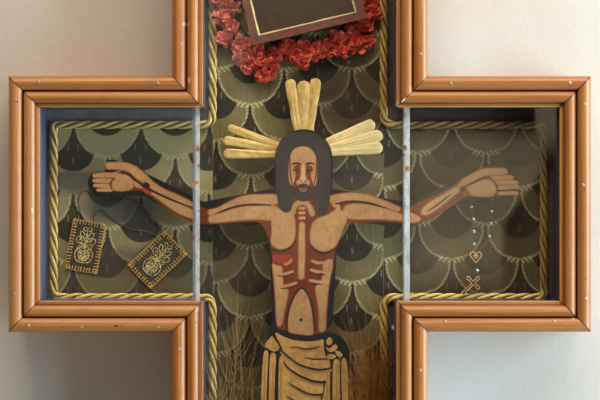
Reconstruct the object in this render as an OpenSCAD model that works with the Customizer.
// Glazed wall shrine in the shape of a Latin cross, with a painted cut-out figure inside.
// X runs to the right, Y into the wall and Z up. The back lies on the wall plane y = 0,
// and the origin is the centre of the crossing on that plane.

/* [Cross outline] */
// Width of the cross over its side arms
overall_w = 720; // [690:5:900]
// Width of the upright limb over its mouldings
post_w = 316; // [310:2:380]
// Height of the side arms over their mouldings
arm_h = 316; // [310:2:380]
// Length of the top limb above the side arms
top_len = 280; // [272:4:400]
// Length of the lower limb below the side arms
foot_len = 464; // [440:4:640]

/* [Case] */
// Depth of the side battens, from the wall to the back of the moulding
case_d = 62; // [56:1:90]
// Width of a batten, from its outer face to the sight edge
batten_w = 34; // [32:1:37]
// Thickness of the back boards
back_t = 8; // [6:0.5:10]
// Width of the rebate that takes the back boards
back_rebate_w = 10; // [6:1:13]
// Width of the rebate that takes the glass and the cames
glass_rebate_w = 14; // [13.5:0.5:18]
// Radius of the blind hole for the hanging pin
hang_r = 4; // [2.5:0.5:5]
// Depth of the blind hole for the hanging pin
hang_d = 20; // [10:1:40]

/* [Moulding] */
// Width of the moulding
mould_w = 38; // [38:1:46]
// Thickness of the moulding's flat
mould_base = 8; // [6:0.5:12]
// Width of the outer half-round bead
outer_bead_w = 17.5; // [14:0.5:18]
// Width of the inner half-round bead
inner_bead_w = 14.5; // [10:0.5:15]
// Width of the quirk between the beads
quirk_w = 1; // [0.6:0.1:2]
// Depth of the quirk below the flat
quirk_d = 3; // [1:0.5:5]
// Opening of each mitre
mitre_gap = 0.3; // [0.1:0.1:1]

/* [Glazing] */
// Thickness of the glass
glass_t = 2; // [1.5:0.25:4]
// How far the glass runs behind the moulding
glass_lap = 8; // [4:0.5:12]
// Distance between the centre lines of the two cames
came_span = 261; // [255:1:262]
// Sideways shift of both cames
came_shift = 2; // [-2:0.5:2]
// Width of a came's flange
came_w = 8.5; // [6:0.5:9]
// Thickness of a came's flange
came_flange = 0.8; // [0.5:0.1:1.5]
// Thickness of the came's web between two panes
came_web = 1.2; // [0.8:0.1:2]

/* [Figure and rays] */
// Depth of the blocks that stand the figure off the back
standoff = 20; // [19.5:0.5:24]
// Thickness of the figure's board
figure_t = 6; // [4:0.5:8]
// Black margin that the board keeps round the painted body
figure_margin = 5; // [3:0.5:6]
// Thickness of the gilt rays
ray_t = 4; // [2.5:0.5:6]
// Width of a side ray at its outer end
ray_w = 48; // [40:1:56]
// Width of the top ray at its outer end
top_ray_w = 42; // [36:1:56]

/* [Sign and wreath] */
// Width of the sign over its frame
sign_w = 147; // [110:1:150]
// Height of the sign over its frame
sign_h = 92; // [70:1:100]
// Thickness of the sign's board
sign_t = 6; // [4:0.5:8]
// Width of the sign's frame strip
sign_rim_w = 10; // [7:0.5:14]
// Thickness of the sign's frame strip
sign_rim_t = 3; // [2:0.5:5]
// Tilt of the sign
sign_tilt = 13.5; // [0:0.5:20]
// Radius of the wreath's straw ring
wreath_r = 90; // [84:1:94]
// Radius of the straw ring's own section
wreath_core_r = 6; // [4:0.5:7]
// Radius of one bloom
bloom_r = 13; // [9:0.5:14]

/* [Keepsakes] */
// Width of a scapular card
card_w = 41; // [30:1:48]
// Height of a scapular card
card_h = 64; // [50:1:70]
// Thickness of a scapular card
card_t = 2; // [1:0.25:4]
// Diameter of the scapular's cord
cord_d = 1.6; // [1:0.1:2]
// Radius of a rosary bead
bead_r = 2.9; // [2.75:0.05:2.95]
// Wire radius of the rosary's rings
wire_r = 0.28; // [0.26:0.01:0.3]
// Middle radius of one ring of the rosary's chain
ring_r = 1.3; // [1.28:0.01:1.32]
// Length of the neck between a bead and its eye
neck_l = 0.5; // [0.45:0.05:0.6]
// Height of the rosary's small crucifix
crucifix_h = 26; // [20:1:30]
// Radius of a barley stem
stem_r = 1.1; // [0.8:0.1:1.5]
// Length of an ear of barley
ear_l = 62; // [40:1:80]
// Radius of an ear of barley
ear_r = 5; // [3.5:0.25:6]

/* [Hidden] */
$fn = 48;
// Small clearance between pieces that are seated in each other
fit = 0.3;
// Overlap of shapes that are joined or cut
lap = 1;

// Half sizes of the outline, and the level of its top and bottom
post_x = post_w / 2;
arm_x = overall_w / 2;
arm_z = arm_h / 2;
top_z = arm_z + top_len;
foot_z = -arm_z - foot_len;

// The same lines at the sight edge, where the moulding ends
sight_post_x = post_x - mould_w;
sight_arm_x = arm_x - mould_w;
sight_arm_z = arm_z - mould_w;
sight_top_z = top_z - mould_w;
sight_foot_z = foot_z + mould_w;

// Depths from the wall towards the room
glass_rebate_d = glass_t + came_flange + fit;
glass_front = case_d - came_flange - fit;
glass_back = glass_front - glass_t;
figure_y = back_t + standoff;
rosary_y = back_t + standoff / 2 + 1;

came_left_x = came_shift - came_span / 2;
came_right_x = came_shift + came_span / 2;

// Places of the sign and the wreath, hung from the top of the opening
sign_drop = 139;
sign_x = 1.5;
sign_z = sight_top_z - sign_drop;
wreath_drop = 133;
wreath_x = -2;
wreath_z = sight_top_z - wreath_drop;
wreath_count = 26;

// Joints of the painted body, as seen from the front
head_c = [5, 58];
neck_c = [5, 10];
shoulder_l = [-30, 0];
shoulder_r = [42, -1];
chest_l = [-16, -34];
chest_r = [26, -34];
breast_c = [5, -60];
waist_l = [-15, -142];
waist_r = [22, -142];
elbow_l = [-123, -13];
elbow_r = [139, -14];
wrist_l = [-194, 24];
wrist_r = [206, 19];
palm_l = [-222, 26];
palm_r = [231, 21];
hip_c = [7, -178];
knee_l = [-13, -318];
knee_r = [25, -318];
ankle_l = [-2, -424];
ankle_r = [12, -424];
toe_l = [-6, -456];
toe_r = [15, -456];

// Centres of the cards, as shares of the left arm's opening and rises above its bottom
card_l_share = 0.243;
card_l_rise = 66;
card_l_pos = [between(-sight_arm_x, -sight_post_x, card_l_share), card_l_rise - sight_arm_z];
card_l_turn = -10;
card_r_share = 0.698;
card_r_rise = 49;
card_r_pos = [between(-sight_arm_x, -sight_post_x, card_r_share), card_r_rise - sight_arm_z];
card_r_turn = -46.6;

// Routes of the scapular's cord: way to the right and rise from the left card's centre,
// drawn for cards that hang cord_span apart, and height above the back boards
cord_span = 92;
cord_stretch = (card_r_pos[0] - card_l_pos[0]) / cord_span;
cord_long_route = [
    [-1, 33.5, 1.2], [-7, 46, 1.2], [-9, 57, 1.3], [-6, 67, 2.4], [-1, 70.5, 3], [5, 71.5, 3.4],
    [12, 70.5, 3], [31, 66.5, 1.8], [53, 61, 1.2], [73, 51.5, 1.2], [87.5, 37, 1.2],
    [95, 23, 1.2], [97.2, 17, 1.2]];
cord_short_route = [
    [11, 31.2, 1.2], [10.5, 37, 1.2], [14, 43.5, 1.2], [20, 45.5, 1.2], [26, 42.5, 1.2],
    [35, 34.5, 1.2], [49, 25.5, 1.2], [66, 20.5, 1.2], [83, 17.5, 1.2], [92, 12.1, 1.2]];
cord_rings = 44;
// Nail that the longer cord hangs on
cord_nail = card_l_pos + [3 * cord_stretch, 69.2];
cord_nail_r = 0.9;
cord_nail_l = 6;

// Rosary: where it hangs behind the right hand, and how its two strands fall
rosary_pin_rise = 143;
rosary_pin = [229, rosary_pin_rise - sight_arm_z];
rosary_pin_r = 1.5;
hanger_r = 3;
bead_eye = bead_r + neck_l + ring_r;
neck_r = 0.8 * wire_r;
hanger_c = rosary_pin - [0, hanger_r - wire_r - rosary_pin_r - fit];
strand_l = hung([[-14.5, -10.5], [-12, -26.3], [-9, -42], [-8.5, -58], [-8.5, -74]]);
strand_r = hung([[14.5, -16], [14, -32], [13, -48], [11.5, -64]]);
medal_c = rosary_pin + [-6, -90.3];
drop_bead = rosary_pin + [-4.5, -107.2];
crucifix_c = rosary_pin + [-10.8, -124.4];
crucifix_turn = -44;
crucifix_bar = crucifix_h * 0.13;
crucifix_top = crucifix_h * 0.4 + crucifix_bar * 0.75 + ring_r;
crucifix_eye = crucifix_c + crucifix_top * [sin(-crucifix_turn), cos(crucifix_turn)];

// Feet of the barley bunches, the tips of their middle ears, and how they fan out
stem_count = 7;
barley_l_rise = 414;
barley_l_foot = [-88, sight_foot_z + fit];
barley_l_tip = [-80, sight_foot_z + barley_l_rise];
barley_r_rise = 380;
barley_r_foot = [94, sight_foot_z + fit];
barley_r_tip = [88, sight_foot_z + barley_r_rise];
foot_spread = 2.6;
tip_spread = 8;
tie_rise = 60;
tie_h = 7;
ear_tiers = 9;

// Numbers of the twelve sides, clockwise from the top
TOP = 0;
TOP_RIGHT = 1;
RIGHT_ARM_TOP = 2;
RIGHT_ARM_END = 3;
RIGHT_ARM_BOTTOM = 4;
POST_RIGHT = 5;
BOTTOM = 6;
POST_LEFT = 7;
LEFT_ARM_BOTTOM = 8;
LEFT_ARM_END = 9;
LEFT_ARM_TOP = 10;
TOP_LEFT = 11;

// Corners of the cross outline, moved inwards by inset, clockwise from the top left
function cross_corners(inset) = let (p = post_x - inset, a = arm_z - inset, w = arm_x - inset)
    [[-p, top_z - inset], [p, top_z - inset], [p, a], [w, a], [w, -a], [p, -a],
    [p, foot_z + inset], [-p, foot_z + inset], [-p, -a], [-w, -a], [-w, a], [-p, a]];

function heading(a, b) = atan2(b[1] - a[1], b[0] - a[0]);
function ray_dir(angle) = [cos(angle), sin(angle)];
function between(a, b, t) = a + (b - a) * t;
function hung(points) = [for (p = points) rosary_pin + p];

// Stands what is drawn flat, with z towards the viewer, up against the wall
module upright(depth = 0) {
    translate([0, -depth, 0]) rotate([90, 0, 0]) children();
}

// Extrudes the children's section along one side of the cross and mitres both of its ends
module mitred_run(side, outer, inner, height) {
    a = cross_corners(outer)[side];
    b = cross_corners(outer)[(side + 1) % 12];
    c = cross_corners(inner)[(side + 1) % 12];
    d = cross_corners(inner)[side];
    along = heading(a, b);
    trim = ray_dir(along) * mitre_gap / sqrt(2);
    // The section starts beyond the longer of the two long edges
    start = b + ray_dir(along) * (inner - outer);
    intersection() {
        translate([start[0], start[1], 0]) rotate([90, 0, along - 90])
            linear_extrude(norm(b - a) + 2 * (inner - outer)) children();
        translate([0, 0, -lap]) linear_extrude(height + 2 * lap)
            polygon([a + trim, b - trim, c - trim, d + trim]);
    }
}

module batten_section() {
    polygon([[0, 0], [batten_w - back_rebate_w, 0], [batten_w - back_rebate_w, back_t],
        [batten_w, back_t], [batten_w, case_d - glass_rebate_d],
        [batten_w - glass_rebate_w, case_d - glass_rebate_d],
        [batten_w - glass_rebate_w, case_d], [0, case_d]]);
}

module batten(side) {
    color("peru") upright() difference() {
        mitred_run(side, mould_w - batten_w, mould_w, case_d) batten_section();
        if (side == TOP) {
            translate([0, sight_top_z + (back_rebate_w + batten_w) / 2, -lap])
                cylinder(r = hang_r, h = hang_d + lap);
        }
    }
}

// Two half-round beads with a quirk between them, and a flat up to the sight edge
module moulding_section() {
    outer_r = outer_bead_w / 2;
    inner_r = inner_bead_w / 2;
    inner_c = outer_bead_w + quirk_w + inner_r;
    difference() {
        union() {
            square([mould_w, mould_base]);
            translate([outer_r, mould_base]) circle(r = outer_r);
            translate([inner_c, mould_base]) circle(r = inner_r);
        }
        translate([outer_bead_w, mould_base - quirk_d]) square([quirk_w, quirk_d + lap]);
        // A circle's lower half never reaches below the moulding's back
        translate([-lap, -outer_bead_w]) square([mould_w + 2 * lap, outer_bead_w]);
    }
}

module moulding(side) {
    color("sandybrown") upright(case_d)
        mitred_run(side, 0, mould_w, mould_base + outer_bead_w) moulding_section();
}

module panel(x0, x1, z0, z1, depth, thickness) {
    upright(depth) translate([x0, z0, 0]) cube([x1 - x0, z1 - z0, thickness]);
}

module back_post() {
    reach = back_rebate_w - fit;
    color("olivedrab") panel(-sight_post_x - reach, sight_post_x + reach,
        sight_foot_z - reach, sight_top_z + reach, 0, back_t);
}

module back_arm(side) {
    reach = back_rebate_w - fit;
    near = sight_post_x + back_rebate_w;
    far = sight_arm_x + reach;
    color("olivedrab") panel(side < 0 ? -far : near, side < 0 ? -near : far,
        -sight_arm_z - reach, sight_arm_z + reach, 0, back_t);
}

module glass_post() {
    web = came_web / 2 + fit;
    color("lightcyan", 0.3) panel(came_left_x + web, came_right_x - web,
        sight_foot_z - glass_lap, sight_top_z + glass_lap, glass_back, glass_t);
}

module glass_arm(side) {
    web = came_web / 2 + fit;
    near = side < 0 ? came_left_x - web : came_right_x + web;
    far = side * (sight_arm_x + glass_lap);
    color("lightcyan", 0.3) panel(min(near, far), max(near, far),
        -sight_arm_z - glass_lap, sight_arm_z + glass_lap, glass_back, glass_t);
}

// A lead came: its web stands between two panes, its back flange stops at the sight edges
module came(x) {
    reach = sight_arm_z + glass_lap - fit;
    inside = sight_arm_z - fit;
    color("gainsboro") union() {
        panel(x - came_web / 2, x + came_web / 2, -reach, reach, glass_back, glass_t);
        panel(x - came_w / 2, x + came_w / 2, -reach, reach, glass_front, came_flange);
        panel(x - came_w / 2, x + came_w / 2, -inside, inside,
            glass_back - came_flange, came_flange);
        panel(x - came_web / 2, x + came_web / 2, -inside, inside,
            glass_back - came_flange, glass_t + 2 * came_flange);
    }
}

module block(pos, size) {
    upright(back_t) translate([pos[0] - size[0] / 2, pos[1] - size[1] / 2, 0])
        cube([size[0], size[1], standoff]);
}

module standoff_blocks() {
    color("saddlebrown") {
        block(breast_c - [0, 10], [44, 60]);
        block(hip_c - [0, 50], [44, 60]);
        block(wrist_l, [18, 14]);
        block(wrist_r - [13, 0], [18, 14]);
        block([sign_x, sign_z], [44, 34]);
        upright(back_t) {
            translate(rosary_pin) cylinder(r = rosary_pin_r, h = standoff);
            translate(cord_nail) cylinder(r = cord_nail_r, h = cord_nail_l);
        }
    }
}

// A tapered limb between two joints, with round ends
module limb(a, ra, b, rb) {
    hull() {
        translate(a) circle(r = ra + figure_margin, $fn = 32);
        translate(b) circle(r = rb + figure_margin, $fn = 32);
    }
}

module arm_outline(shoulder, elbow, wrist) {
    limb(shoulder, 15, elbow, 10);
    limb(elbow, 10, wrist, 8.5);
}

// A hand laid flat, side is -1 for the left one
module hand_outline(wrist, palm, side) {
    limb(wrist, 8.5, palm, 11);
    limb(palm, 11, palm + [side * 30, 0.5], 9.5);
    limb(wrist + [side * 8, 8], 6, palm + [side * 13, 21.5], 3.5);
}

module torso_outline() {
    limb(chest_l, 17, waist_l, 15);
    limb(chest_r, 17, waist_r, 15);
    limb(shoulder_l, 15, shoulder_r, 15);
    limb(neck_c, 16, breast_c, 24);
}

module head_outline() {
    translate(head_c) circle(r = 31 + figure_margin);
    limb(head_c + [-22, -6], 10, [-18, -4], 8);
    limb(head_c + [22, -6], 10, [27, -8], 8);
}

// The cloth flares below its knot and hangs to above the knees
module cloth_outline() {
    limb(hip_c + [-22, 10], 22, hip_c + [-28, -96], 20);
    limb(hip_c + [27, -12], 24, hip_c + [32, -112], 18);
    limb(hip_c + [0, -10], 30, hip_c + [0, -100], 22);
}

module leg_outline(hip, knee, ankle, toe) {
    limb(hip, 19, knee, 16);
    limb(knee, 16, ankle, 9);
    limb(ankle, 9, toe, 6);
}

module figure_board() {
    color("burlywood") upright(figure_y) linear_extrude(figure_t) {
        head_outline();
        torso_outline();
        arm_outline(shoulder_l, elbow_l, wrist_l);
        arm_outline(shoulder_r, elbow_r, wrist_r);
        hand_outline(wrist_l, palm_l, -1);
        hand_outline(wrist_r, palm_r, 1);
        cloth_outline();
        leg_outline(hip_c + [-22, -60], knee_l, ankle_l, toe_l);
        leg_outline(hip_c + [20, -60], knee_r, ankle_r, toe_r);
    }
}

// One gilt ray: three round-ended lobes that open out from the head, with grooves between
module ray(angle, outer, inner_w, outer_w) {
    inner = 20;
    lobe_r = outer_w / 6;
    rotate(angle - 90) difference() {
        linear_extrude(ray_t) {
            polygon([[-inner_w / 2, inner], [inner_w / 2, inner],
                [outer_w / 2, outer - lobe_r], [-outer_w / 2, outer - lobe_r]]);
            for (i = [-1:1])
                translate([i * outer_w / 3, outer - lobe_r]) circle(r = lobe_r);
        }
        for (i = [-1, 1]) {
            top = [i * outer_w / 6, outer];
            low = [i * inner_w / 6, inner];
            translate([low[0], low[1], ray_t]) rotate(heading(low, top) - 90)
                rotate([-90, 0, 0]) translate([0, 0, -lap])
                cylinder(r = ray_t / 3, h = norm(top - low) + 2 * lap);
        }
    }
}

module rays() {
    color("gold") upright(figure_y - ray_t) translate(head_c + [0, 4, 0]) {
        ray(90, 97, top_ray_w * 0.44, top_ray_w);
        ray(170, 100, ray_w * 0.25, ray_w);
        ray(15, 100, ray_w * 0.25, ray_w);
    }
}

module sign_place(depth) {
    upright(depth) translate([sign_x, sign_z, 0]) rotate(sign_tilt) children();
}

module sign_board() {
    color("darkslategray") sign_place(figure_y)
        translate([-sign_w / 2, -sign_h / 2, 0]) cube([sign_w, sign_h, sign_t]);
}

module sign_frame() {
    color("sienna") sign_place(figure_y + sign_t) difference() {
        translate([-sign_w / 2, -sign_h / 2, 0]) cube([sign_w, sign_h, sign_rim_t]);
        translate([sign_rim_w - sign_w / 2, sign_rim_w - sign_h / 2, -lap])
            cube([sign_w - 2 * sign_rim_w, sign_h - 2 * sign_rim_w, sign_rim_t + 2 * lap]);
    }
}

// A round of petals: discs set in a ring round a middle disc
module petal_round(count, r, h) {
    petal_r = r * 0.42;
    linear_extrude(h) {
        circle(r = r * 0.62);
        for (i = [0:count - 1])
            rotate(i * 360 / count) translate([r - petal_r, 0]) circle(r = petal_r);
    }
}

// A paper bloom of three rounds of petals, each smaller and turned against the last
module bloom(r) {
    petal_round(6, r, 3);
    rotate(30) petal_round(5, r * 0.74, 5);
    rotate(15) petal_round(3, r * 0.46, 7);
}

// The blooms stand out further at the lower left, where the wreath sags
function bloom_ring(angle) = wreath_r + 11 * pow(max(0, cos(angle - 233)), 6);

module wreath() {
    color("indianred") upright(back_t + fit) translate([wreath_x, wreath_z, 0]) {
        translate([0, 0, wreath_core_r]) rotate_extrude($fn = 96)
            translate([wreath_r, 0]) circle(r = wreath_core_r);
        for (i = [0:wreath_count - 1]) {
            angle = i * 360 / wreath_count;
            swing = i % 2 == 0 ? 8 : -8;
            r = bloom_ring(angle) + swing;
            translate([r * cos(angle), r * sin(angle), wreath_core_r + 2])
                rotate(i * 47) bloom(bloom_r);
        }
    }
}

module card(pos, turn) {
    color("saddlebrown") upright(back_t + fit) translate([pos[0], pos[1], 0]) rotate(turn)
        translate([-card_w / 2, -card_h / 2, 0]) cube([card_w, card_h, card_t]);
}

// Smooth route through the given points, s running from 0 to 1
function spline_point(route, s) = let (
    last = len(route) - 1,
    x = s * last,
    i = min(floor(x), last - 1),
    t = x - i,
    p0 = route[max(i - 1, 0)],
    p1 = route[i],
    p2 = route[i + 1],
    p3 = route[min(i + 2, last)])
    0.5 * ((2 * p1) + (p2 - p0) * t + (2 * p0 - 5 * p1 + 4 * p2 - p3) * t * t
    + (3 * p1 - p0 - 3 * p2 + p3) * t * t * t);

function unit(v) = v / norm(v);

// A tube of eight sides swept along a route that lies against the back boards
module cord(route) {
    sides = 8;
    laid = [for (p = route)
        [card_l_pos[0] + p[0] * cord_stretch, card_l_pos[1] + p[1], p[2]]];
    points = [for (k = [0:cord_rings]) spline_point(laid, k / cord_rings)];
    rings = [for (k = [0:cord_rings]) let (
        along = unit(points[min(k + 1, cord_rings)] - points[max(k - 1, 0)]),
        across = unit(cross(along, [0, 0, 1])),
        up = cross(across, along))
        for (j = [0:sides - 1]) points[k]
            + cord_d / 2 * (cos(j * 360 / sides) * across + sin(j * 360 / sides) * up)];
    walls = [for (k = [0:cord_rings - 1]) for (j = [0:sides - 1]) let (
        a = k * sides + j,
        b = k * sides + (j + 1) % sides)
        [a, b, b + sides, a + sides]];
    start = [for (j = [0:sides - 1]) sides - 1 - j];
    end = [for (j = [0:sides - 1]) cord_rings * sides + j];
    color("maroon") upright(back_t) polyhedron(concat(rings), concat([start], walls, [end]));
}

// A bead with an eye at both ends, standing along a strand
module bead_link(c, angle) {
    translate([c[0], c[1], 0]) rotate(angle) {
        rotate([0, 90, 0]) rotate_extrude() {
            intersection() {
                circle(r = bead_r);
                translate([0, -bead_r]) square([bead_r, 2 * bead_r]);
            }
            translate([0, -bead_eye + ring_r]) square([neck_r, 2 * (bead_eye - ring_r)]);
        }
        for (i = [-1, 1]) translate([i * bead_eye, 0, 0]) flat_eye();
    }
}

// An eye of flattened wire, fixed to the piece that it grows out of
module flat_eye() {
    translate([0, 0, -wire_r]) linear_extrude(2 * wire_r) difference() {
        circle(r = ring_r + wire_r);
        circle(r = ring_r - wire_r);
    }
}

module wire_ring(r = ring_r) {
    rotate_extrude($fn = 32) translate([r, 0]) circle(r = wire_r, $fn = 16);
}

// An odd number of rings, each turned against the last, hung between two eyes
module chain(a, b) {
    pitch = 2 * (ring_r - wire_r);
    gaps = 2 * ceil(norm(b - a) / pitch / 2);
    angle = heading(a, b);
    for (i = [1:gaps - 1]) {
        c = between(a, b, i / gaps);
        translate([c[0], c[1], 0]) rotate(angle) rotate([i % 2 == 1 ? 90 : 0, 0, 0])
            wire_ring();
    }
}

// Beads along a route, hung from the hanger ring and ending at an eye of the medal
module strand(route, end) {
    n = len(route);
    turns = [for (i = [0:n - 1])
        heading(route[max(i - 1, 0)], route[min(i + 1, n - 1)])];
    for (i = [0:n - 1]) bead_link(route[i], turns[i]);
    for (i = [0:n - 2])
        chain(route[i] + bead_eye * ray_dir(turns[i]), route[i + 1] - bead_eye * ray_dir(turns[i + 1]));
    top = route[0] - bead_eye * ray_dir(turns[0]);
    chain(hanger_c + (hanger_r - ring_r) * unit(top - hanger_c), top);
    chain(route[n - 1] + bead_eye * ray_dir(turns[n - 1]), end);
}

// A heart-shaped centre piece with an eye at each upper corner and one below
module medal() {
    translate([medal_c[0], medal_c[1], 0]) {
        translate([0, 0, -0.9]) linear_extrude(1.8) {
            for (i = [-1, 1]) translate([i * 3.3, 3]) circle(r = 3.9);
            polygon([[-7, 1.8], [0, -7.5], [7, 1.8], [3.3, 4], [-3.3, 4]]);
        }
        for (eye = [[-4, 8], [4, 8], [0, -8.6]]) translate([eye[0], eye[1], 0]) flat_eye();
    }
}

module small_crucifix() {
    arm = crucifix_h * 0.33;
    bar = crucifix_bar;
    translate([crucifix_c[0], crucifix_c[1], 0]) rotate(crucifix_turn) {
        translate([0, 0, -0.9]) linear_extrude(1.8) {
            translate([-bar / 2, -crucifix_h * 0.6]) square([bar, crucifix_h]);
            translate([-arm, crucifix_h * 0.08 - bar / 2]) square([2 * arm, bar]);
            for (p = [[-arm, crucifix_h * 0.08], [arm, crucifix_h * 0.08],
                [0, crucifix_h * 0.4], [0, -crucifix_h * 0.6]])
                translate(p) circle(r = bar * 0.75);
        }
        translate([0, crucifix_top, 0]) flat_eye();
    }
}

module rosary() {
    drop = heading(medal_c - [0, 8.6], drop_bead);
    color("goldenrod") upright(rosary_y) {
        translate(hanger_c) wire_ring(hanger_r);
        strand(strand_l, medal_c + [-4, 8]);
        strand(strand_r, medal_c + [4, 8]);
        medal();
        bead_link(drop_bead, drop);
        chain(medal_c - [0, 8.6], drop_bead - bead_eye * ray_dir(drop));
        chain(drop_bead + bead_eye * ray_dir(drop), crucifix_eye);
        small_crucifix();
    }
}

// Half outline of a stalk: a plain stem, then an ear of grains in tiers
function stalk_outline(rise) = let (pitch = ear_l / ear_tiers)
    concat([[0, 0], [stem_r, 0], [stem_r, rise - ear_l]],
    [for (i = [0:ear_tiers - 1]) let (r = ear_r * sin(30 + 138 * (i + 0.5) / ear_tiers))
        for (p = [[0.68 * r, 0.12], [r, 0.62]]) [p[0], rise - ear_l + (i + p[1]) * pitch]],
    [[0, rise]]);

module stalk(foot, tip) {
    d = tip - foot;
    rise = norm(d);
    translate(foot) rotate([0, acos(d[2] / rise), atan2(d[1], d[0])])
        rotate_extrude($fn = 24) polygon(stalk_outline(rise));
}

// Two layers of stalks that fan out from the foot, with a flat tie round them all
module barley(foot, tip) {
    middle = (stem_count - 1) / 2;
    near = ear_r + fit + 1;
    far = near + 2 * ear_r + 1;
    tie_t = tie_rise / (tip[1] - foot[1]);
    tie_x = between(foot[0], tip[0], tie_t);
    half = middle * between(foot_spread, tip_spread, tie_t) + stem_r + fit + 1;
    near_tie = between(3, near, tie_t) - stem_r - fit;
    far_tie = between(8, far, tie_t) + stem_r + fit;
    color("khaki") upright(back_t) {
        for (i = [0:stem_count - 1]) {
            s = i - middle;
            odd = i % 2 == 1;
            stalk([foot[0] + s * foot_spread, foot[1], odd ? 8 : 3],
                [tip[0] + s * tip_spread, tip[1] - 2.2 * s * s + 4 * sin(i * 137),
                odd ? far : near]);
        }
        translate([tie_x, foot[1] + tie_rise, near_tie]) difference() {
            translate([-half - 1, -tie_h / 2, -1])
                cube([2 * half + 2, tie_h, far_tie - near_tie + 2]);
            translate([-half, -tie_h / 2 - lap, 0])
                cube([2 * half, tie_h + 2 * lap, far_tie - near_tie]);
        }
    }
}

batten(TOP);  // batten_top
batten(TOP_RIGHT);  // batten_top_right
batten(RIGHT_ARM_TOP);  // batten_right_arm_top
batten(RIGHT_ARM_END);  // batten_right_arm_end
batten(RIGHT_ARM_BOTTOM);  // batten_right_arm_bottom
batten(POST_RIGHT);  // batten_post_right
batten(BOTTOM);  // batten_bottom
batten(POST_LEFT);  // batten_post_left
batten(LEFT_ARM_BOTTOM);  // batten_left_arm_bottom
batten(LEFT_ARM_END);  // batten_left_arm_end
batten(LEFT_ARM_TOP);  // batten_left_arm_top
batten(TOP_LEFT);  // batten_top_left
moulding(TOP);  // moulding_top
moulding(TOP_RIGHT);  // moulding_top_right
moulding(RIGHT_ARM_TOP);  // moulding_right_arm_top
moulding(RIGHT_ARM_END);  // moulding_right_arm_end
moulding(RIGHT_ARM_BOTTOM);  // moulding_right_arm_bottom
moulding(POST_RIGHT);  // moulding_post_right
moulding(BOTTOM);  // moulding_bottom
moulding(POST_LEFT);  // moulding_post_left
moulding(LEFT_ARM_BOTTOM);  // moulding_left_arm_bottom
moulding(LEFT_ARM_END);  // moulding_left_arm_end
moulding(LEFT_ARM_TOP);  // moulding_left_arm_top
moulding(TOP_LEFT);  // moulding_top_left
back_post();
back_arm(-1);  // back_left_arm
back_arm(1);  // back_right_arm
glass_post();
glass_arm(-1);  // glass_left_arm
glass_arm(1);  // glass_right_arm
came(came_left_x);  // came_left
came(came_right_x);  // came_right
standoff_blocks();
figure_board();
rays();
sign_board();
sign_frame();
wreath();
card(card_l_pos, card_l_turn);  // scapular_left
card(card_r_pos, card_r_turn);  // scapular_right
cord(cord_long_route);  // scapular_cord_long
cord(cord_short_route);  // scapular_cord_short
rosary();
barley(barley_l_foot, barley_l_tip);  // barley_left
barley(barley_r_foot, barley_r_tip);  // barley_right
